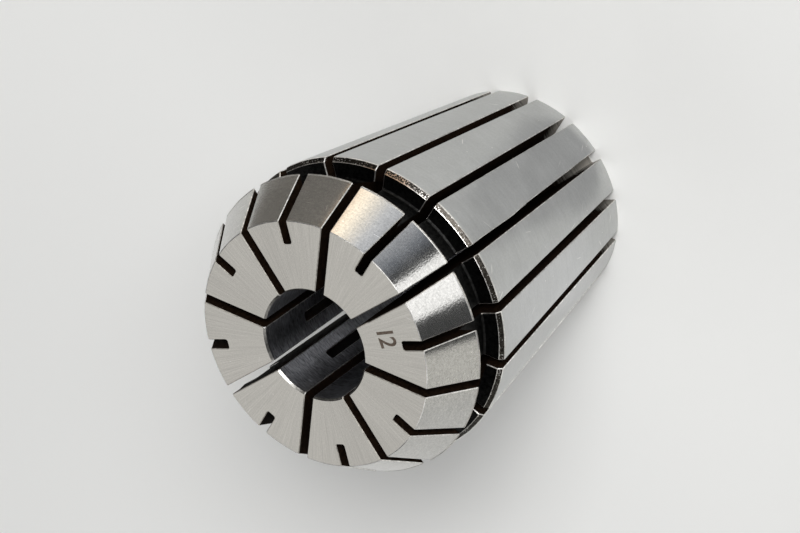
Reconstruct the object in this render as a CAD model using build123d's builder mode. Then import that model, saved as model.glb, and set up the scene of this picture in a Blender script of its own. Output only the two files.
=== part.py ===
from build123d import *
import os
from math import isclose, radians, tan

# A spring collet turned from one piece of spring steel, then slotted from both ends.
# It stands on its rear face: the origin is that face's centre, and +Z runs up to the nose.

# Driving dimensions, in millimetres and degrees
overall_length = 40.0
outer_diameter = 33.0           # across the big ends of both tapers

nose_length = 5.25              # nose face to the extractor groove
nose_half_angle = 30.0
body_half_angle = 8.0

groove_width = 4.15
groove_depth = 2.175            # below the outer diameter
groove_corner_radius = 0.3
shoulder_chamfer = 0.45         # between the groove and the body taper

bore_diameter = 12.0
bore_chamfer = 0.2
edge_break = 0.1                # dulled rims of the nose face, the nose taper and the rear face

slots_per_end = 8
slot_width = 1.0
saw_diameter = 50.0             # the slot floors are arcs of this saw
web_length = 7.0                # end face to the slot floor, along the bore
web_thickness = 5.05            # bore to the slot floor, across the end face

# Sizes that follow from the driving dimensions
outer_radius = outer_diameter / 2
bore_radius = bore_diameter / 2
saw_radius = saw_diameter / 2
web_radius = bore_radius + web_thickness
groove_floor_radius = outer_radius - groove_depth
groove_top = overall_length - nose_length
groove_bottom = groove_top - groove_width
taper_top = groove_bottom - shoulder_chamfer
face_radius = outer_radius - nose_length * tan(radians(nose_half_angle))
rear_radius = outer_radius - taper_top * tan(radians(body_half_angle))
slot_pitch = 360 / slots_per_end
run_out = 1.0                   # how far a slot's outline passes the metal that it cuts
slot_inner_radius = bore_radius / 2
slot_outer_radius = outer_radius + run_out


def rings(radius, height):
    """The blank's round edges of one radius at one height."""
    round_edges = collet.edges().filter_by(GeomType.CIRCLE)
    return round_edges.filter_by(
        lambda edge: isclose(edge.radius, radius) and isclose(edge.center().Z, height, abs_tol=1e-6)
    )


def saw_slots(end, inward, first_angle):
    """Cut every second slot. It is open along its whole length but for the web at one end of the bore:
    end is that end's height, and inward is +1 or -1, the way from it into the collet."""
    far_end = end + inward * (overall_length + run_out)
    near_end = end - inward * run_out
    with BuildSketch(Plane.XZ) as slot_side:
        with BuildLine():
            RadiusArc(
                (bore_radius, end + inward * web_length),
                (web_radius, end),
                -inward * saw_radius,
            )
            Polyline(
                (web_radius, end),
                (web_radius, near_end),
                (slot_outer_radius, near_end),
                (slot_outer_radius, far_end),
                (slot_inner_radius, far_end),
                (slot_inner_radius, end + inward * web_length),
                (bore_radius, end + inward * web_length),
            )
        make_face()
    saw_cut = extrude(slot_side.sketch, amount=slot_width / 2, both=True, mode=Mode.PRIVATE)
    with PolarLocations(0, slots_per_end, start_angle=first_angle):
        add(saw_cut, mode=Mode.SUBTRACT)


with BuildPart() as collet:
    # The turned blank: nose taper, extractor groove, shoulder and body taper
    with BuildSketch(Plane.XZ):
        with BuildLine():
            Polyline(
                (bore_radius, 0),
                (rear_radius, 0),
                (outer_radius, taper_top),
                (outer_radius - shoulder_chamfer, groove_bottom),
                (groove_floor_radius, groove_bottom),
                (groove_floor_radius, groove_top),
                (outer_radius, groove_top),
                (face_radius, overall_length),
                (bore_radius, overall_length),
                close=True,
            )
        make_face()
    revolve(axis=Axis.Z)
    fillet(
        rings(groove_floor_radius, groove_bottom) + rings(groove_floor_radius, groove_top),
        groove_corner_radius,
    )
    chamfer(rings(bore_radius, 0) + rings(bore_radius, overall_length), bore_chamfer)
    chamfer(
        rings(face_radius, overall_length) + rings(outer_radius, groove_top) + rings(rear_radius, 0),
        edge_break,
    )

    # Eight slots open at the nose, and eight between them open at the rear
    saw_slots(end=0, inward=1, first_angle=0)
    saw_slots(end=overall_length, inward=-1, first_angle=slot_pitch / 2)

collet.part.label = "collet"

os.makedirs("parts", exist_ok=True)
export_step(collet.part, "parts/collet.step")
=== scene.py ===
import bpy
from math import cos, hypot, pi, radians, sin, sqrt, tan
from mathutils import Matrix, Vector


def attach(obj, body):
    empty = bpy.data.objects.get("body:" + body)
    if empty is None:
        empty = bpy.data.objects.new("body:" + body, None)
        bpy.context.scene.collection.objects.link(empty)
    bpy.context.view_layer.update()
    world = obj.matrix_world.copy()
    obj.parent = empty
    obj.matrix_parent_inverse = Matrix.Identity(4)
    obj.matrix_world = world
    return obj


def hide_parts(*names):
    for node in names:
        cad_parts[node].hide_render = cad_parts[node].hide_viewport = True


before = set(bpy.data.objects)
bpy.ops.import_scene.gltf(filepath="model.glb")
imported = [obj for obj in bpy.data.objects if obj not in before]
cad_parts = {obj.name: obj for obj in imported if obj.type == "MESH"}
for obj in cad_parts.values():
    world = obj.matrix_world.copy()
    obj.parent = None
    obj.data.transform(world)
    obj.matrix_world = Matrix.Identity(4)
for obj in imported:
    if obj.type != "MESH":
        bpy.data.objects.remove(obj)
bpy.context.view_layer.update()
mm = 0.001               # the collet's own sizes below are in millimetres


# Small helpers

def toLinear(hexColour):
    # sRGB hex to the linear colour that the shaders take
    channels = [int(hexColour[i:i + 2], 16) / 255 for i in (1, 3, 5)]
    return [c / 12.92 if c <= 0.04045 else ((c + 0.055) / 1.055) ** 2.4 for c in channels] + [1.0]


def addNode(tree, kind, settings=None, links=None):
    # one node: settings are its properties or socket values, links are what feeds its sockets
    node = tree.nodes.new(kind)
    for name, value in (settings or {}).items():
        if isinstance(name, str) and hasattr(node, name):
            setattr(node, name, value)
        else:
            node.inputs[name].default_value = value
    for name, source in (links or {}).items():
        tree.links.new(source, node.inputs[name])
    return node


def newMaterial(name):
    material = bpy.data.materials.new(name)
    material.use_nodes = True
    material.node_tree.nodes.clear()
    return material


def selectOnly(piece):
    bpy.ops.object.select_all(action="DESELECT")
    piece.select_set(True)
    bpy.context.view_layer.objects.active = piece


def settleOrder(piece):
    # a boolean lists points and faces in a new order each run, and what follows depends on that order
    loose = piece.data
    rank = sorted(range(len(loose.vertices)), key=lambda i: tuple(loose.vertices[i].co))
    newIndex = {old: new for new, old in enumerate(rank)}
    faces = []
    for face in loose.polygons:
        ring = [newIndex[i] for i in face.vertices]
        first = ring.index(min(ring))
        faces.append((ring[first:] + ring[:first], face.material_index))
    faces.sort()
    settled = bpy.data.meshes.new(piece.name)
    settled.from_pydata([loose.vertices[i].co for i in rank], [], [ring for ring, _ in faces])
    for material in loose.materials:
        settled.materials.append(material)
    for face, (_, finish) in zip(settled.polygons, faces):
        face.material_index = finish
    piece.data = settled


# Collet blank: a ring of points pushed round the turned profile, one extrusion for each corner

collet = {
    "length": 40.0,
    "outerRadius": 16.5,
    "noseLength": 5.25,
    "noseHalfAngle": 30.0,
    "bodyHalfAngle": 8.0,
    "grooveWidth": 4.15,
    "grooveDepth": 2.175,
    "grooveCorner": 0.3,
    "cornerSteps": 4,
    "shoulderChamfer": 0.45,
    "boreRadius": 6.0,
    "boreChamfer": 0.2,
    "edgeBreak": 0.1,        # round the rear face
    "rimBreak": 0.06,        # round the nose face and the big end of its taper
    "ringPoints": 96,        # so that the ring's flats meet at the middle of every slot
    "smoothAngle": 20,       # flats that meet at less than this are shaded as one surface
}
slots = {
    "perEnd": 8,
    "width": 1.0,
    "sawRadius": 25.0,
    "sawPoints": 288,
    "travel": 30.0,          # takes the saw out past the open end
    "webLength": 7.0,        # left uncut along the bore
    "webThickness": 5.05,    # left uncut across the end face
    "toothCorner": 0.18,     # worn corners of the saw's teeth
    "burr": 0.08,            # brushed edge of each slot
    "sharpAngle": 50,        # only edges sharper than this are brushed
}

grooveTop = collet["length"] - collet["noseLength"]
grooveBottom = grooveTop - collet["grooveWidth"]
grooveFloor = collet["outerRadius"] - collet["grooveDepth"]
taperTop = grooveBottom - collet["shoulderChamfer"]
faceRadius = collet["outerRadius"] - collet["noseLength"] * tan(radians(collet["noseHalfAngle"]))
rearRadius = collet["outerRadius"] - taperTop * tan(radians(collet["bodyHalfAngle"]))


def turnedProfile():
    # radius, height and the finish of the band that leads to the next point
    c = collet
    edge = c["edgeBreak"]
    rim = c["rimBreak"]
    body = radians(c["bodyHalfAngle"])
    nose = radians(c["noseHalfAngle"])
    corner = c["grooveCorner"]
    turns = [radians(90 * step / c["cornerSteps"]) for step in range(c["cornerSteps"] + 1)]
    points = [
        (c["boreRadius"], c["boreChamfer"], "chamfer"),
        (c["boreRadius"] + c["boreChamfer"], 0, "face"),
        (rearRadius - edge, 0, "edge"),
        (rearRadius + edge * sin(body), edge * cos(body), "taper"),
        (c["outerRadius"], taperTop, "shoulder"),
        (c["outerRadius"] - c["shoulderChamfer"], grooveBottom, "groove"),
    ]
    for turn in turns:
        points.append((
            grooveFloor + corner * (1 - sin(turn)), grooveBottom + corner * (1 - cos(turn)), "groove"))
    for turn in turns:
        points.append((
            grooveFloor + corner * (1 - cos(turn)), grooveTop - corner * (1 - sin(turn)), "groove"))
    points += [
        (c["outerRadius"] - rim, grooveTop, "edge"),
        (c["outerRadius"] - rim * sin(nose), grooveTop + rim * cos(nose), "noseTaper"),
        (faceRadius + rim * sin(nose), c["length"] - rim * cos(nose), "edge"),
        (faceRadius - rim, c["length"], "face"),
        (c["boreRadius"] + c["boreChamfer"], c["length"], "chamfer"),
        (c["boreRadius"], c["length"] - c["boreChamfer"], "bore"),
    ]
    return points


finishes = [
    "face", "taper", "noseTaper", "bore", "chamfer", "groove", "shoulder", "edge", "slot", "etch", "faceBurr"]


def turnBlank():
    points = turnedProfile()
    radius, height, _ = points[0]
    bpy.ops.object.select_all(action="DESELECT")
    bpy.ops.mesh.primitive_circle_add(
        vertices=collet["ringPoints"], radius=radius * mm, fill_type="NOTHING", location=(0, 0, height * mm))
    blank = bpy.context.active_object
    blank.name = "slottedCollet"
    bpy.ops.object.transform_apply(location=True, rotation=True, scale=True)
    bpy.ops.object.mode_set(mode="EDIT")
    bpy.ops.mesh.select_all(action="SELECT")
    for nextRadius, nextHeight, _ in points[1:]:
        bpy.ops.mesh.extrude_edges_move(
            TRANSFORM_OT_translate={"value": (0, 0, (nextHeight - height) * mm)})
        grow = nextRadius / radius
        bpy.ops.transform.resize(value=(grow, grow, 1), center_override=(0, 0, nextHeight * mm))
        radius, height = nextRadius, nextHeight
    # close the bore between the last ring and the first
    bpy.ops.mesh.select_mode(type="EDGE")
    bpy.ops.mesh.select_all(action="DESELECT")
    bpy.ops.mesh.select_non_manifold(
        extend=False, use_wire=False, use_boundary=True, use_multi_face=False, use_non_contiguous=False,
        use_verts=False)
    bpy.ops.mesh.bridge_edge_loops()
    bpy.ops.mesh.select_all(action="SELECT")
    bpy.ops.mesh.normals_make_consistent(inside=False)
    bpy.ops.object.mode_set(mode="OBJECT")
    return blank


def bandAt(radius, height):
    # the finish of the profile line that a point of the blank's surface lies nearest to
    points = turnedProfile()
    nearest, best = None, 1e9
    for index, (r0, z0, finish) in enumerate(points):
        r1, z1, _ = points[(index + 1) % len(points)]
        dr, dz = r1 - r0, z1 - z0
        span = dr * dr + dz * dz
        if span < 1e-9:
            continue
        part = max(0, min(1, ((radius - r0) * dr + (height - z0) * dz) / span))
        gap = hypot(radius - r0 - part * dr, height - z0 - part * dz)
        if gap < best:
            nearest, best = finish, gap
    return nearest


def finishBlank(blank):
    for face in blank.data.polygons:
        centre = face.center / mm
        # a flat's middle lies inside its ring by the flat's rise
        radius = hypot(centre.x, centre.y) / cos(pi / collet["ringPoints"])
        face.material_index = finishes.index(bandAt(radius, centre.z))


def sawCentre():
    # where the saw stops: its rim passes through the end of the slot at the bore and at the end face
    bore = Vector((collet["boreRadius"], slots["webLength"]))
    rim = Vector((collet["boreRadius"] + slots["webThickness"], 0))
    half = (rim - bore) / 2
    away = Vector((-half.y, half.x)).normalized() * sqrt(slots["sawRadius"] ** 2 - half.length ** 2)
    return bore + half + away


# Two odd slots, both open at the nose

ledgeSlot = {                                        # the saw wandered here
    "angle": 0,
    "heights": (16.66, 16.74, 21.0, 24.0, 28.0),     # where its wall may turn
    "radii": (7.9, 8.05),
    "ledge": {16.74: 0.15, 21.0: 0.15, 24.0: 0.08},  # a height and how far one wall stands in there
    "jogRadius": 8.0,
    "jog": 0.05,                                     # the other wall steps back beyond that radius
}
sprungJaw = {                                        # this jaw stands open a little
    "angle": 180,
    "heights": (37.0, 39.8),
    "radii": (6.5, 11.0),
    "setBack": 0.18,                                 # below the lower height and from the outer radius on
    "setFrom": 10.9,                                 # takes in the rim's points beside that radius
}
wallSide = 0.3 * slots["width"]                      # a point further from a slot's middle is on its wall
justBeside = 0.01


def turnWallAt(heights, radii):
    # crease lines across the cutter's walls
    for height in heights:
        bpy.ops.mesh.select_all(action="SELECT")
        bpy.ops.mesh.bisect(plane_co=(0, 0, height * mm), plane_no=(0, 0, 1))
    for radius in radii:
        bpy.ops.mesh.select_all(action="SELECT")
        bpy.ops.mesh.bisect(plane_co=(radius * mm, 0, 0), plane_no=(1, 0, 0))


def shiftWall(cutter, belongs, shift):
    # moves the cutter's points that belong, in mm, across the slot
    bpy.ops.mesh.select_all(action="DESELECT")
    bpy.ops.object.mode_set(mode="OBJECT")
    for vertex in cutter.data.vertices:
        vertex.select = belongs(vertex.co / mm)
    bpy.ops.object.mode_set(mode="EDIT")
    bpy.ops.transform.translate(value=(0, shift * mm, 0))


def stepWall(cutter):
    s = ledgeSlot
    turnWallAt(s["heights"], s["radii"])
    for height, inward in s["ledge"].items():
        shiftWall(cutter, lambda p: p.y > wallSide and abs(p.z - height) < justBeside, -inward)
    shiftWall(cutter, lambda p: p.y < -wallSide and p.x > s["jogRadius"], -s["jog"])


def relieveWall(cutter):
    s = sprungJaw
    below = min(s["heights"]) + justBeside
    turnWallAt(s["heights"], s["radii"])
    shiftWall(cutter, lambda p: p.y > wallSide and p.z < below and p.x > s["setFrom"], s["setBack"])


def sawCutter(angle, openAtNose):
    centre = sawCentre()
    s = slots
    bpy.ops.object.select_all(action="DESELECT")
    bpy.ops.mesh.primitive_cylinder_add(
        vertices=s["sawPoints"], radius=s["sawRadius"] * mm, depth=s["width"] * mm,
        location=(centre.x * mm, 0, centre.y * mm), rotation=(radians(90), 0, 0))
    cutter = bpy.context.active_object
    bpy.ops.object.transform_apply(location=True, rotation=True, scale=True)
    bpy.ops.object.mode_set(mode="EDIT")
    bpy.ops.mesh.select_mode(type="FACE")
    bpy.ops.mesh.select_all(action="DESELECT")
    bpy.ops.object.mode_set(mode="OBJECT")
    for face in cutter.data.polygons:
        face.select = abs(face.normal.y) > 0.9       # the disc's two flat sides
    bpy.ops.object.mode_set(mode="EDIT")
    bpy.ops.mesh.bevel(offset=s["toothCorner"] * mm, segments=3, profile=0.5, affect="EDGES")
    # draw the upper half of the disc out past the open end, as the saw's travel does
    bpy.ops.mesh.select_mode(type="VERT")
    bpy.ops.mesh.select_all(action="DESELECT")
    bpy.ops.object.mode_set(mode="OBJECT")
    for vertex in cutter.data.vertices:
        vertex.select = vertex.co.z > centre.y * mm
    bpy.ops.object.mode_set(mode="EDIT")
    bpy.ops.transform.translate(value=(0, 0, s["travel"] * mm))
    if openAtNose and angle == ledgeSlot["angle"]:
        stepWall(cutter)
    if openAtNose and angle == sprungJaw["angle"]:
        relieveWall(cutter)
    if not openAtNose:
        bpy.ops.mesh.select_all(action="SELECT")
        bpy.ops.transform.rotate(
            value=pi, orient_axis="X", center_override=(0, 0, collet["length"] / 2 * mm))
    bpy.ops.mesh.select_all(action="SELECT")
    bpy.ops.transform.rotate(value=-radians(angle), orient_axis="Z", center_override=(0, 0, 0))
    bpy.ops.object.mode_set(mode="OBJECT")
    return cutter


def cutSlots(blank):
    pitch = 360 / slots["perEnd"]
    cutters = []
    for index in range(slots["perEnd"]):
        cutters.append(sawCutter(index * pitch, True))
        cutters.append(sawCutter((index + 0.5) * pitch, False))
    bpy.ops.object.select_all(action="DESELECT")
    for cutter in cutters:
        cutter.select_set(True)
    bpy.context.view_layer.objects.active = cutters[0]
    bpy.ops.object.join()
    saw = bpy.context.active_object
    for slot in blank.material_slots:
        saw.data.materials.append(slot.material)
    for face in saw.data.polygons:
        face.material_index = finishes.index("slot")
    selectOnly(blank)
    cut = blank.modifiers.new("sawCuts", "BOOLEAN")
    cut.operation = "DIFFERENCE"
    cut.solver = "EXACT"
    cut.object = saw
    bpy.ops.object.modifier_apply(modifier=cut.name)
    bpy.data.objects.remove(saw)


def breakEdges(blank):
    # the cuts leave thin slivers in flat faces, which the bevel can't take
    selectOnly(blank)
    bpy.ops.object.mode_set(mode="EDIT")
    bpy.ops.mesh.select_all(action="SELECT")
    bpy.ops.mesh.dissolve_limited(angle_limit=radians(0.4), delimit={"MATERIAL"})
    bpy.ops.object.mode_set(mode="OBJECT")
    burr = blank.modifiers.new("brushedEdges", "BEVEL")
    burr.width = slots["burr"] * mm
    burr.segments = 1
    burr.limit_method = "ANGLE"
    burr.angle_limit = radians(slots["sharpAngle"])
    burr.use_clamp_overlap = False
    burr.material = finishes.index("edge")
    bpy.ops.object.modifier_apply(modifier=burr.name)
    for face in blank.data.polygons:
        if finishes[face.material_index] != "edge":
            continue
        centre = face.center / mm
        radius = hypot(centre.x, centre.y)
        # the oxide went on after the edges were broken, so it covers those in the groove
        if grooveBottom + 0.05 < centre.z < grooveTop - 0.05 and radius > grooveFloor - 1:
            face.material_index = finishes.index("groove")
        # the face was ground last, which left a dull burr along its slots but not round its rim
        sideways = abs(face.normal.y * centre.x - face.normal.x * centre.y) / radius
        if centre.z > collet["length"] - slots["burr"] and sideways > 0.3:
            face.material_index = finishes.index("faceBurr")


sizeMark = {
    "text": "12",            # the bore's own diameter
    "height": 2.1,
    "fontShare": 0.72,       # a figure's height in the font's own size
    "squeeze": 0.85,         # the engraver's figures are narrow
    "stroke": 0.045,         # added on each side of a stroke
    "spacing": 0.85,
    "radius": 8.35,
    "angle": -17,
    "depth": 0.02,
}


def etchSize(blank):
    m = sizeMark
    bpy.ops.object.select_all(action="DESELECT")
    bpy.ops.object.text_add(location=(0, 0, 0))
    mark = bpy.context.active_object
    mark.data.body = m["text"]
    mark.data.size = m["height"] / m["fontShare"] * mm
    mark.data.align_x = "CENTER"
    mark.data.space_character = m["spacing"]
    mark.data.extrude = m["depth"] * mm
    mark.data.resolution_u = 4
    mark.data.offset = m["stroke"] * mm
    bpy.ops.object.convert(target="MESH")
    mark.scale = (m["squeeze"], 1, 1)
    mark.rotation_euler = (0, 0, radians(m["angle"] - 90))
    spot = radians(m["angle"])
    mark.location = (m["radius"] * cos(spot) * mm, m["radius"] * sin(spot) * mm, collet["length"] * mm)
    bpy.ops.object.transform_apply(location=True, rotation=True, scale=True)
    bpy.ops.object.mode_set(mode="EDIT")
    bpy.ops.mesh.select_all(action="SELECT")
    bpy.ops.mesh.remove_doubles(threshold=1e-7)
    bpy.ops.mesh.normals_make_consistent(inside=False)
    bpy.ops.object.mode_set(mode="OBJECT")
    for slot in blank.material_slots:
        mark.data.materials.append(slot.material)
    for face in mark.data.polygons:
        face.material_index = finishes.index("etch")
    selectOnly(blank)
    cut = blank.modifiers.new("etching", "BOOLEAN")
    cut.operation = "DIFFERENCE"
    cut.solver = "EXACT"
    cut.object = mark
    bpy.ops.object.modifier_apply(modifier=cut.name)
    bpy.data.objects.remove(mark)


print("materials")

# every pattern is given in millimetres; grit leaves marks of 0.02 to 0.04 mm, and they are drawn 0.06 mm
# wide and more, because finer ones would not show
steel = {
    "face": {           # surface ground outwards from the bore: a soft fan of light across each jaw
        "name": "radially ground spring steel", "colour": "#BFBCB5", "roughness": 0.22, "anisotropy": 0.85,
        "lay": "radial", "lineWidth": 0.06, "lineLength": 2.4, "lineDepth": 0.0003, "lineTone": 0.09,
        "streakWidth": 0.35, "streakTone": 0.02, "speckleTone": 0.04, "cloudSize": 5.0, "cloudTone": 0.035,
        "grit": 0.3, "nicks": 0.3},
    "taper": {          # cylindrically ground: an even satin that spreads the lamps' light round it
        "name": "satin ground spring steel", "colour": "#BDBEBD", "roughness": 0.33, "anisotropy": 0.5,
        "lay": "around", "lineWidth": 0.12, "lineLength": 0.9, "lineDepth": 0.0006, "lineTone": 0.05,
        "streakWidth": 0.8, "streakTone": 0.02, "speckleTone": 0.05, "cloudSize": 3.5, "cloudTone": 0.06,
        "grit": 0.3, "nicks": 1.0},
    "noseTaper": {      # finely ground, so it mirrors the lamps in bands
        "name": "bright ground spring steel", "colour": "#C6C5C2", "roughness": 0.15, "anisotropy": 0.4,
        "lay": "around", "lineWidth": 0.1, "lineLength": 0.3, "lineDepth": 0.002, "lineTone": 0.10,
        "streakWidth": 0.5, "streakTone": 0.02, "speckleTone": 0.13, "cloudSize": 3.0, "cloudTone": 0.04,
        "grit": 2.4, "nicks": 1.6},
    "bore": {           # honed: fine rings that spread the light along the bore; its colour is partly painted light, set lighter to stand in for light that an open rear end would let in, since here the rear end stands on the floor
        "name": "honed spring steel", "colour": "#96979C", "roughness": 0.36, "anisotropy": 0.8,
        "lay": "around", "lineWidth": 0.08, "lineLength": 0.8, "lineDepth": 0.0015, "lineTone": 0.6,
        "streakWidth": 0.4, "streakTone": 0.15, "speckleTone": 0.1, "cloudSize": 4.0, "cloudTone": 0.03,
        "grit": 0.5, "nicks": 0.0},
    "chamfer": {        # turned: fine uneven rings, duller than the ground steel beside it
        "name": "turned spring steel", "colour": "#9A9894", "roughness": 0.34, "anisotropy": 0.3,
        "lay": "around", "lineWidth": 0.1, "lineLength": 0.6, "lineDepth": 0.001, "lineTone": 0.3,
        "streakWidth": 0.4, "streakTone": 0.3, "speckleTone": 0.3, "cloudSize": 1.5, "cloudTone": 0.1,
        "grit": 1.0, "nicks": 0.0},
    "edge": {           # dulled by hand, so it catches light from all sides
        "name": "brushed edge of spring steel", "colour": "#DAD8D4", "roughness": 0.42, "anisotropy": 0.0,
        "lay": "around", "lineWidth": 0.2, "lineLength": 0.8, "lineDepth": 0.002, "lineTone": 0.35,
        "streakWidth": 0.9, "streakTone": 0.25, "speckleTone": 0.2, "cloudSize": 1.2, "cloudTone": 0.15,
        "grit": 1.0, "nicks": 0.0},
    "faceBurr": {       # rolled over by the wheel, so dull that it shows no lamp
        "name": "ground burr of spring steel", "colour": "#B5B1AA", "roughness": 0.72, "anisotropy": 0.0,
        "lay": "around", "lineWidth": 0.2, "lineLength": 0.8, "lineDepth": 0.002, "lineTone": 0.3,
        "streakWidth": 0.9, "streakTone": 0.2, "speckleTone": 0.2, "cloudSize": 1.2, "cloudTone": 0.15,
        "grit": 1.0, "nicks": 0.0},
}
oxide = {
    "groove": {         # thin skin on turned steel: near black with a soft sheen
        "name": "black oxide in the groove", "dark": "#151515", "light": "#353534", "metallic": 1.0,
        "roughness": 0.42, "specular": 0.5, "worn": "none"},
    "shoulder": {       # the same skin, rubbed through by the nut
        "name": "black oxide worn off the shoulder", "dark": "#24221F", "light": "#4E4A45", "metallic": 1.0,
        "roughness": 0.38, "specular": 0.5, "worn": "specks"},
    "slot": {           # matt skin of the sawn walls, which stays dark even along the wall
        "name": "black oxide on the sawn slots", "dark": "#0D0805", "light": "#251A12", "metallic": 0.0,
        "roughness": 0.8, "specular": 0.02, "worn": "sawEnd"},
    "etch": {           # burnt by the laser: flat warm brown
        "name": "laser etched steel", "dark": "#4A3F36", "light": "#6E6258", "metallic": 0.0,
        "roughness": 0.7, "specular": 0.2, "worn": "none"},
}
oxideGrain = 0.35
handling = {
    "bareSteel": "#F2F0EC",      # where a tick or nick has cut the surface
    "sheetRadius": 14.0,         # the surface is laid flat as if it were this far from the axis
    "tickCell": 2.6,             # one tick at most in each
    "tickHalfWidth": (0.05, 0.02),
    "tickHalfLength": (0.6, 0.2),
    "tickChance": 0.72,          # cells whose draw is below this stay clean
    "nickCell": 1.6,
    "nickReach": (0.045, 0.03),  # in cells
    "speckle": 0.2,
}
noseRim = {"from": 0.24, "to": 0.18, "roughness": 0.4}   # scuffed band, from the groove up
shoulderWear = {
    "brownedAt": (12.1, 10.9),   # one patch, by its place across the axis
    "brownedReach": (3.6, 1.8),
    "bare": "#E2DFDA",
    "brown": "#DBBDA2",
    "patch": 4.0,
    "speck": 0.15,
    # the worn bands of both rims: from, to, gain
    "rims": ((grooveBottom - 0.07, grooveBottom, 0.5), (taperTop + 0.04, taperTop, 0.15)),
}
sawEntry = {
    "centreRadius": 28.5,        # of the arcs that the saw left where it ran in
    "centreDepth": 14.0,         # below the rear face
    "spacing": 0.25,
    "fade": (4.4, 0.8),          # heights above the rear face
    "bare": "#A5A19A",
}


def axisPlaces(tree):
    # a point's distance from the axis, its direction round it and its height
    place = addNode(tree, "ShaderNodeTexCoord")
    flat = addNode(tree, "ShaderNodeVectorMath", {"operation": "MULTIPLY", 1: (1, 1, 0)},
                   {0: place.outputs["Object"]})
    radius = addNode(tree, "ShaderNodeVectorMath", {"operation": "LENGTH"}, {0: flat.outputs[0]})
    around = addNode(tree, "ShaderNodeVectorMath", {"operation": "NORMALIZE"}, {0: flat.outputs[0]})
    height = addNode(tree, "ShaderNodeSeparateXYZ", links={0: place.outputs["Object"]})
    return place.outputs["Object"], radius.outputs["Value"], around.outputs[0], height.outputs["Z"]


def layNoise(tree, around, along, width, length, lay, detail):
    # noise drawn out along the marks' own direction, seamless round the axis
    meanRadius = 13.5
    # a mark and the gap beside it are one wave of the noise
    wide, long = 1 / (2 * width), 1 / (2 * length)
    turnScale, alongScale = (meanRadius * long, wide) if lay == "around" else (meanRadius * wide, long)
    turn = addNode(tree, "ShaderNodeVectorMath", {"operation": "SCALE", "Scale": turnScale}, {0: around})
    climb = addNode(tree, "ShaderNodeMath", {"operation": "MULTIPLY", 1: alongScale / mm}, {0: along})
    lift = addNode(tree, "ShaderNodeCombineXYZ", links={"Z": climb.outputs[0]})
    grain = addNode(tree, "ShaderNodeVectorMath", {"operation": "ADD"},
                    {0: turn.outputs[0], 1: lift.outputs[0]})
    noise = addNode(tree, "ShaderNodeTexNoise", {"Scale": 1.0, "Detail": detail, "Roughness": 0.6},
                    {"Vector": grain.outputs[0]})
    return noise.outputs["Fac"]


def toneOf(tree, noise, spread):
    # a multiplier round 1
    tone = addNode(tree, "ShaderNodeMapRange", {
        "From Min": 0.25, "From Max": 0.75, "To Min": 1 - spread, "To Max": 1 + spread, "clamp": False},
        {"Value": noise})
    return tone.outputs[0]


def times(tree, first, second):
    return addNode(tree, "ShaderNodeMath", {"operation": "MULTIPLY"}, {0: first, 1: second}).outputs[0]


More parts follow.
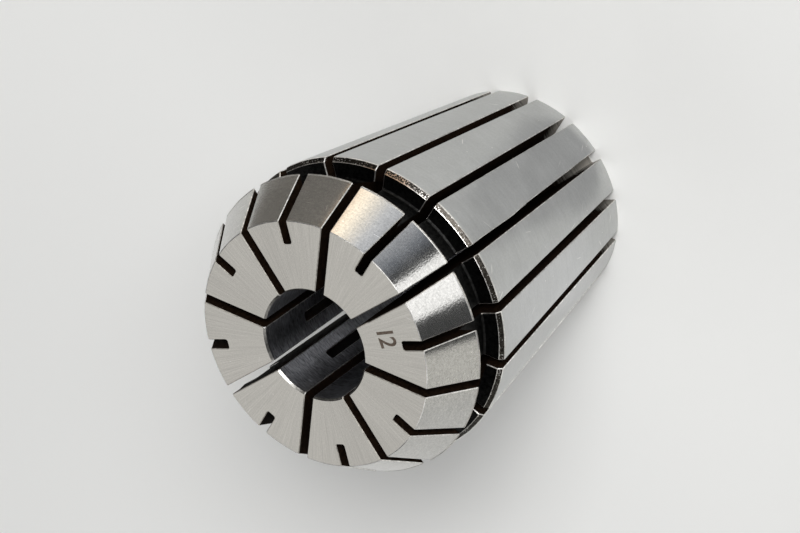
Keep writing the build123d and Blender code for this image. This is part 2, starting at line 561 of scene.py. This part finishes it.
def groundSteel(key):
    f = steel[key]
    h = handling
    material = newMaterial(f["name"])
    tree = material.node_tree
    place, radius, around, height = axisPlaces(tree)
    if f["lay"] == "around":
        along = addNode(tree, "ShaderNodeMath", {"operation": "SUBTRACT"}, {0: height, 1: radius}).outputs[0]
    else:
        along = radius
    lines = layNoise(tree, around, along, f["lineWidth"], f["lineLength"], f["lay"], 2.0)
    streaks = layNoise(tree, around, along, f["streakWidth"], f["lineLength"] * 4, f["lay"], 2.0)
    clouds = addNode(tree, "ShaderNodeTexNoise", {
        "Scale": 1 / (f["cloudSize"] * mm), "Detail": 3.0, "Roughness": 0.6},
        {"Vector": place}).outputs["Fac"]
    tone = times(tree, toneOf(tree, lines, f["lineTone"]), toneOf(tree, streaks, f["streakTone"]))
    tone = times(tree, tone, toneOf(tree, clouds, f["cloudTone"]))
    speckle = addNode(tree, "ShaderNodeTexNoise", {"Scale": 1 / (h["speckle"] * mm), "Detail": 1.0},
                      {"Vector": place})
    tone = times(tree, tone, toneOf(tree, speckle.outputs["Fac"], f["speckleTone"]))
    # hairlines from handling: one short tick to a cell of the surface, at its own slant
    turnAngle = addNode(tree, "ShaderNodeSeparateXYZ", links={0: around})
    turnAngle = addNode(tree, "ShaderNodeMath", {"operation": "ARCTAN2"},
                        {0: turnAngle.outputs["Y"], 1: turnAngle.outputs["X"]})
    girth = addNode(tree, "ShaderNodeMath", {"operation": "MULTIPLY", 1: h["sheetRadius"] * mm},
                    {0: turnAngle.outputs[0]})
    sheet = addNode(tree, "ShaderNodeCombineXYZ", links={"X": girth.outputs[0], "Y": along})
    ticks = addNode(tree, "ShaderNodeTexVoronoi", {
        "voronoi_dimensions": "2D", "feature": "F1", "Scale": 1 / (h["tickCell"] * mm)},
        {"Vector": sheet.outputs[0]})
    offset = addNode(tree, "ShaderNodeVectorMath", {"operation": "SUBTRACT"},
                     {0: sheet.outputs[0], 1: ticks.outputs["Position"]})
    chance = addNode(tree, "ShaderNodeSeparateColor", links={0: ticks.outputs["Color"]})
    slant = addNode(tree, "ShaderNodeMath", {"operation": "MULTIPLY", 1: 2 * pi}, {0: chance.outputs[0]})
    turned = addNode(tree, "ShaderNodeVectorRotate", {"rotation_type": "Z_AXIS"},
                     {"Vector": offset.outputs[0], "Angle": slant.outputs[0]})
    tick = addNode(tree, "ShaderNodeSeparateXYZ", links={0: turned.outputs[0]})
    across = addNode(tree, "ShaderNodeMath", {"operation": "ABSOLUTE"}, {0: tick.outputs["Y"]})
    length = addNode(tree, "ShaderNodeMath", {"operation": "ABSOLUTE"}, {0: tick.outputs["X"]})
    thin = addNode(tree, "ShaderNodeMapRange", {
        "From Min": h["tickHalfWidth"][0] * mm, "From Max": h["tickHalfWidth"][1] * mm},
        {"Value": across.outputs[0]})
    short = addNode(tree, "ShaderNodeMapRange", {
        "From Min": h["tickHalfLength"][0] * mm, "From Max": h["tickHalfLength"][1] * mm},
        {"Value": length.outputs[0]})
    rare = addNode(tree, "ShaderNodeMapRange", {
        "From Min": h["tickChance"], "From Max": 1.0, "To Max": f["nicks"]}, {"Value": chance.outputs[1]})
    hair = times(tree, times(tree, thin.outputs[0], short.outputs[0]), rare.outputs[0])
    # sparse bright nicks
    cells = addNode(tree, "ShaderNodeTexVoronoi", {"feature": "F1", "Scale": 1 / (h["nickCell"] * mm)},
                    {"Vector": place})
    nick = addNode(tree, "ShaderNodeMapRange", {
        "From Min": h["nickReach"][0], "From Max": h["nickReach"][1], "To Min": 0.0, "To Max": f["nicks"]},
        {"Value": cells.outputs["Distance"]})
    tint = addNode(tree, "ShaderNodeMix", {
        "data_type": "RGBA", "blend_type": "MULTIPLY", 0: 1.0, 6: toLinear(f["colour"])}, {7: tone})
    marks = addNode(tree, "ShaderNodeMath", {"operation": "MAXIMUM"}, {0: nick.outputs[0], 1: hair})
    nicked = addNode(tree, "ShaderNodeMix", {"data_type": "RGBA", 7: toLinear(h["bareSteel"])},
                     {0: marks.outputs[0], 6: tint.outputs[2]})
    gloss = addNode(tree, "ShaderNodeMapRange", {
        "From Min": 0.3, "From Max": 0.7, "To Min": f["roughness"] * 0.85, "To Max": f["roughness"] * 1.15},
        {"Value": clouds})
    if key == "noseTaper":
        # the rim above the groove is scuffed, so it stays light where the taper mirrors the dark
        rim = addNode(tree, "ShaderNodeMapRange", {
            "From Min": (grooveTop + noseRim["from"]) * mm, "From Max": (grooveTop + noseRim["to"]) * mm,
            "To Max": noseRim["roughness"]}, {"Value": height})
        gloss = addNode(tree, "ShaderNodeMath", {"operation": "ADD"},
                        {0: gloss.outputs[0], 1: rim.outputs[0]})
    grit = addNode(tree, "ShaderNodeMath", {"operation": "MULTIPLY", 1: f["grit"]},
                   {0: speckle.outputs["Fac"]})
    relief = addNode(tree, "ShaderNodeMath", {"operation": "ADD"}, {0: lines, 1: grit.outputs[0]})
    bump = addNode(tree, "ShaderNodeBump", {"Strength": 1.0, "Distance": f["lineDepth"] * mm},
                   {"Height": relief.outputs[0]})
    ring = addNode(tree, "ShaderNodeTangent", {"direction_type": "RADIAL", "axis": "Z"})
    # the highlight is drawn out across the marks
    shader = addNode(tree, "ShaderNodeBsdfPrincipled", {
        "Metallic": 1.0, "Anisotropic": f["anisotropy"],
        "Anisotropic Rotation": 0.25 if f["lay"] == "around" else 0.0},
        {"Base Color": nicked.outputs[2], "Roughness": gloss.outputs[0], "Normal": bump.outputs[0],
         "Tangent": ring.outputs[0]})
    addNode(tree, "ShaderNodeOutputMaterial", links={"Surface": shader.outputs[0]})


def blackOxide(key):
    f = oxide[key]
    material = newMaterial(f["name"])
    tree = material.node_tree
    place, radius, around, height = axisPlaces(tree)
    grain = addNode(tree, "ShaderNodeTexNoise", {
        "Scale": 1 / (oxideGrain * mm), "Detail": 4.0, "Roughness": 0.65}, {"Vector": place}).outputs["Fac"]
    dark = addNode(tree, "ShaderNodeMapRange", {"From Min": 0.35, "From Max": 0.7}, {"Value": grain})
    skin = addNode(tree, "ShaderNodeMix", {
        "data_type": "RGBA", 6: toLinear(f["dark"]), 7: toLinear(f["light"])},
        {0: dark.outputs[0]}).outputs[2]
    if f["worn"] == "specks":
        # the oxide is rubbed off in specks, browned in one patch, and along both rims of the chamfer
        w = shoulderWear
        patch = addNode(tree, "ShaderNodeVectorMath", {
            "operation": "DISTANCE", 1: [side * mm for side in (*w["brownedAt"], taperTop)]}, {0: place})
        browned = addNode(tree, "ShaderNodeMapRange", {
            "From Min": w["brownedReach"][0] * mm, "From Max": w["brownedReach"][1] * mm},
            {"Value": patch.outputs["Value"]})
        patches = addNode(tree, "ShaderNodeTexNoise", {"Scale": 1 / (w["patch"] * mm), "Detail": 1.0},
                          {"Vector": place})
        limit = addNode(tree, "ShaderNodeMapRange", {
            "From Min": 0.4, "From Max": 0.65, "To Min": -0.2, "To Max": -0.07},
            {"Value": patches.outputs["Fac"]})
        worn = addNode(tree, "ShaderNodeTexNoise", {"Scale": 1 / (w["speck"] * mm), "Detail": 1.0},
                       {"Vector": place})
        worn = addNode(tree, "ShaderNodeMath", {"operation": "ADD"},
                       {0: worn.outputs["Fac"], 1: limit.outputs[0]})
        worn = addNode(tree, "ShaderNodeMath", {"operation": "MULTIPLY_ADD", 1: 0.09},
                       {0: browned.outputs[0], 2: worn.outputs[0]})
        for inner, rimHeight, gain in w["rims"]:
            rim = addNode(tree, "ShaderNodeMapRange", {
                "From Min": inner * mm, "From Max": rimHeight * mm, "To Max": gain}, {"Value": height})
            worn = addNode(tree, "ShaderNodeMath", {"operation": "ADD"},
                           {0: worn.outputs[0], 1: rim.outputs[0]})
        worn = addNode(tree, "ShaderNodeMapRange", {"From Min": 0.5, "From Max": 0.6},
                       {"Value": worn.outputs[0]})
        bare = addNode(tree, "ShaderNodeMix", {
            "data_type": "RGBA", 6: toLinear(w["bare"]), 7: toLinear(w["brown"])}, {0: browned.outputs[0]})
        skin = addNode(tree, "ShaderNodeMix", {"data_type": "RGBA"},
                       {0: worn.outputs[0], 6: skin, 7: bare.outputs[2]}).outputs[2]
    if f["worn"] == "sawEnd":
        # bright arcs where the saw ran in, fading within a few millimetres of the rear face
        s = sawEntry
        side = addNode(tree, "ShaderNodeMath", {"operation": "SUBTRACT", 1: s["centreRadius"] * mm},
                       {0: radius})
        rise = addNode(tree, "ShaderNodeMath", {"operation": "ADD", 1: s["centreDepth"] * mm}, {0: height})
        arm = addNode(tree, "ShaderNodeCombineXYZ", links={"X": side.outputs[0], "Y": rise.outputs[0]})
        reach = addNode(tree, "ShaderNodeVectorMath", {"operation": "LENGTH"}, {0: arm.outputs[0]})
        arcs = addNode(tree, "ShaderNodeTexNoise", {
            "noise_dimensions": "1D", "Scale": 1 / (s["spacing"] * mm), "Detail": 3.0, "Roughness": 0.7},
            {"W": reach.outputs["Value"]})
        fade = addNode(tree, "ShaderNodeMapRange", {
            "From Min": s["fade"][0] * mm, "From Max": s["fade"][1] * mm, "To Min": -0.35, "To Max": 0.55},
            {"Value": height})
        worn = addNode(tree, "ShaderNodeMath", {"operation": "ADD"},
                       {0: arcs.outputs["Fac"], 1: fade.outputs[0]})
        worn = addNode(tree, "ShaderNodeMapRange", {"From Min": 0.4, "From Max": 1.0},
                       {"Value": worn.outputs[0]})
        skin = addNode(tree, "ShaderNodeMix", {"data_type": "RGBA", 7: toLinear(s["bare"])},
                       {0: worn.outputs[0], 6: skin}).outputs[2]
    bump = addNode(tree, "ShaderNodeBump", {"Strength": 1.0, "Distance": 0.003 * mm}, {"Height": grain})
    shader = addNode(tree, "ShaderNodeBsdfPrincipled", {
        "Metallic": f["metallic"], "Roughness": f["roughness"], "Specular IOR Level": f["specular"]},
        {"Base Color": skin, "Normal": bump.outputs[0]})
    if f["worn"] == "sawEnd":
        tree.links.new(worn.outputs[0], shader.inputs["Metallic"])     # bare metal shows in the arcs
    addNode(tree, "ShaderNodeOutputMaterial", links={"Surface": shader.outputs[0]})


for key in steel:
    groundSteel(key)
for key in oxide:
    blackOxide(key)

print("blank")
piece = turnBlank()
for key in finishes:
    finish = steel[key] if key in steel else oxide[key]
    piece.data.materials.append(bpy.data.materials[finish["name"]])
finishBlank(piece)
settleOrder(piece)
print("slots")
cutSlots(piece)
settleOrder(piece)
print("faces after the cuts", len(piece.data.polygons))
breakEdges(piece)
print("faces after the edges", len(piece.data.polygons))
etchSize(piece)
settleOrder(piece)
selectOnly(piece)
bpy.ops.object.shade_smooth_by_angle(angle=radians(collet["smoothAngle"]))
print("faces after the etching", len(piece.data.polygons))
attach(piece, "root")
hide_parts("collet")

print("studio")
studio = {
    "floorSize": 4,
    "floorColour": "#F1F1EF",
    "roomColour": "#C8CACC",
    "roomStrength": 0.11,
    "aimHeight": 0.02,           # the lamps face the middle of the collet
}
bpy.ops.object.select_all(action="DESELECT")
bpy.ops.mesh.primitive_plane_add(size=studio["floorSize"], location=(0, 0, 0))
floor = bpy.context.active_object
floor.name = "studioFloor"
floorMaterial = newMaterial("matt white board")
shader = addNode(floorMaterial.node_tree, "ShaderNodeBsdfPrincipled", {
    "Base Color": toLinear(studio["floorColour"]), "Roughness": 0.9, "Specular IOR Level": 0.0})
addNode(floorMaterial.node_tree, "ShaderNodeOutputMaterial", links={"Surface": shader.outputs[0]})
floor.data.materials.append(floorMaterial)

world = bpy.data.worlds.new("studio")
bpy.context.scene.world = world
world.use_nodes = True
world.node_tree.nodes["Background"].inputs["Color"].default_value = toLinear(studio["roomColour"])
world.node_tree.nodes["Background"].inputs["Strength"].default_value = studio["roomStrength"]

# azimuth and elevation in degrees, distance, width and height in metres, radiance and colour
softboxes = {
    "backdrop": (186, 49, 1.0, 1.2, 0.8, 0.80, "#FFFFFF"),
    "keyLight": (13, 42, 1.0, 0.38, 0.38, 9.9, "#FFFFFF"),
    "secondKey": (26, 47, 1.0, 0.38, 0.38, 7.6, "#FFFFFF"),
    "topLight": (60, 75, 1.2, 1.0, 1.0, 0.1, "#FFFFFF"),
    "fillLight": (-90, 46, 1.0, 0.80, 0.35, 1.5, "#FFFFFF"),
    "whitePanel": (-8.5, 14, 1.0, 0.52, 0.35, 1.50, "#FFFFFF"),
    "sidePanel": (-83, 10, 1.0, 1.34, 0.40, 0.66, "#FFFDF6"),
}


def standAt(azimuth, elevation, distance):
    flat = cos(radians(elevation)) * distance
    rise = sin(radians(elevation)) * distance
    return Vector((flat * cos(radians(azimuth)), flat * sin(radians(azimuth)), rise))


def addSoftbox(name, azimuth, elevation, distance, width, height, radiance, colour):
    bpy.ops.object.select_all(action="DESELECT")
    place = standAt(azimuth, elevation, distance)
    bpy.ops.object.light_add(type="AREA", location=place)
    light = bpy.context.active_object
    light.name = name
    aim = Vector((0, 0, studio["aimHeight"])) - place
    light.rotation_euler = aim.to_track_quat("-Z", "Y").to_euler()
    light.data.shape = "RECTANGLE"
    light.data.size = width
    light.data.size_y = height
    light.data.energy = pi * radiance * width * height
    light.data.color = toLinear(colour)[:3]
    light.visible_camera = False


for name, values in softboxes.items():
    addSoftbox(name, *values)

windowPanel = {
    "azimuth": 43,
    "elevation": 10,
    "distance": 1.0,
    "height": 0.35,
    "radiance": 2.1,
    # direction in degrees and the colour of the card there, from cool shade to warm lamp light
    "stops": ((11, "#000000"), (20, "#5A5E65"), (46, "#B0B2B6"), (55, "#D2CCC2"), (62, "#FBEEDA"),
              (70, "#D8C0A8"), (75, "#000000")),
}


def addWindowPanel():
    # one long card with a smooth run of light along it
    w = windowPanel
    spread = w["stops"][-1][0] - w["azimuth"]
    half = w["distance"] * tan(radians(spread))
    turned = radians(w["azimuth"])
    place = standAt(w["azimuth"], w["elevation"], w["distance"])
    bpy.ops.object.select_all(action="DESELECT")
    bpy.ops.mesh.primitive_plane_add(
        size=1, location=place, rotation=(radians(90), 0, turned + radians(90)))
    card = bpy.context.active_object
    card.name = "windowPanel"
    card.scale = (2 * half, w["height"], 1)
    bpy.ops.object.transform_apply(location=True, rotation=True, scale=True)
    material = newMaterial("graded paper light")
    tree = material.node_tree
    place = addNode(tree, "ShaderNodeTexCoord")
    # how far a point of the card lies along it
    side = addNode(tree, "ShaderNodeVectorMath", {
        "operation": "DOT_PRODUCT", 1: (-sin(turned), cos(turned), 0)}, {0: place.outputs["Object"]})
    share = addNode(tree, "ShaderNodeMapRange", {"From Min": -half, "From Max": half},
                    {"Value": side.outputs["Value"]})
    ramp = addNode(tree, "ShaderNodeValToRGB", links={"Fac": share.outputs[0]})
    marks = ramp.color_ramp.elements
    while len(marks) < len(w["stops"]):
        marks.new(0.5)           # its place is set below
    for mark, (azimuth, colour) in zip(marks, w["stops"]):
        mark.position = 0.5 + w["distance"] * tan(radians(azimuth - w["azimuth"])) / (2 * half)
        mark.color = toLinear(colour)
    light = addNode(tree, "ShaderNodeEmission", {"Strength": w["radiance"]}, {"Color": ramp.outputs["Color"]})
    addNode(tree, "ShaderNodeOutputMaterial", links={"Surface": light.outputs[0]})
    card.data.materials.append(material)
    card.visible_camera = False


addWindowPanel()


# degrees and metres
greyFlag = {"azimuth": 100, "distance": 0.115, "width": 0.12, "height": 0.07, "colour": "#A09C97"}
paintedReflectionCards = {
    # painted light: this card glows brighter than the floor, so the lower panels of the body taper mirror a
    # lighter patch
    "paintedLightCard": {"azimuth": -57, "reach": 0.0235, "width": 0.017, "depth": 0.014, "radiance": 0.95},
    # painted shade: this card glows dimmer than the floor, so the body taper mirrors a dark patch that stands
    # in for shade beside the collet's foot
    "paintedShadeCard": {"azimuth": 9, "reach": 0.0222, "width": 0.019, "depth": 0.019, "radiance": 0.5},
}
flagGap, cardGap = 0.0005, 0.0003    # how high the cards stand off the floor


def addFlag():
    # grey card that stands out of the picture and darkens what the steel mirrors
    f = greyFlag
    place = standAt(f["azimuth"], 0, f["distance"])
    place.z = f["height"] / 2 + flagGap
    bpy.ops.object.select_all(action="DESELECT")
    bpy.ops.mesh.primitive_plane_add(
        size=1, location=place, rotation=(radians(90), 0, radians(f["azimuth"] + 90)))
    card = bpy.context.active_object
    card.name = "greyFlag"
    card.scale = (f["width"], f["height"], 1)
    bpy.ops.object.transform_apply(location=True, rotation=True, scale=True)
    material = newMaterial("grey felt card")
    shader = addNode(material.node_tree, "ShaderNodeBsdfPrincipled", {
        "Base Color": toLinear(f["colour"]), "Roughness": 1.0, "Specular IOR Level": 0.0})
    addNode(material.node_tree, "ShaderNodeOutputMaterial", links={"Surface": shader.outputs[0]})
    card.data.materials.append(material)
    card.visible_camera = False


addFlag()


def addPaintedReflectionCard(name, azimuth, reach, width, depth, radiance):
    # small glowing card on the floor that only the steel mirrors; the brighter one paints light and the
    # dimmer one paints shade into the steel's reflections
    place = standAt(azimuth, 0, reach)
    place.z = cardGap
    bpy.ops.object.select_all(action="DESELECT")
    bpy.ops.mesh.primitive_plane_add(size=1, location=place, rotation=(0, 0, radians(azimuth)))
    card = bpy.context.active_object
    card.name = name
    card.scale = (depth, width, 1)
    bpy.ops.object.transform_apply(location=True, rotation=True, scale=True)
    material = newMaterial("lit white card")
    light = addNode(material.node_tree, "ShaderNodeEmission", {"Strength": radiance})
    addNode(material.node_tree, "ShaderNodeOutputMaterial", links={"Surface": light.outputs[0]})
    card.data.materials.append(material)
    card.visible_camera = False
    card.visible_diffuse = False
    card.visible_shadow = False


for name, values in paintedReflectionCards.items():
    addPaintedReflectionCard(name, **values)

print("camera")
cameraView = {
    "place": (255.053, 25.300, 309.640),     # in mm
    "turn": (-2.6288, 0.7102, 0.9730),       # axis of its turn, as long as its angle in radians
    "lens": 166.57,
    "sensor": 36,
    "clip": (0.01, 20),
}
turn = Vector(cameraView["turn"])
right, down, ahead = Matrix.Rotation(turn.length, 3, turn.normalized())
cameraData = bpy.data.cameras.new("productCamera")
camera = bpy.data.objects.new("productCamera", cameraData)
bpy.context.scene.collection.objects.link(camera)
basis = Matrix((right, -down, -ahead)).transposed()
camera.matrix_world = Matrix.Translation(Vector(cameraView["place"]) * mm) @ basis.to_4x4()
cameraData.sensor_width = cameraView["sensor"]
cameraData.lens = cameraView["lens"]
cameraData.clip_start, cameraData.clip_end = cameraView["clip"]
bpy.context.scene.camera = camera
bpy.context.scene.view_settings.view_transform = "Standard"
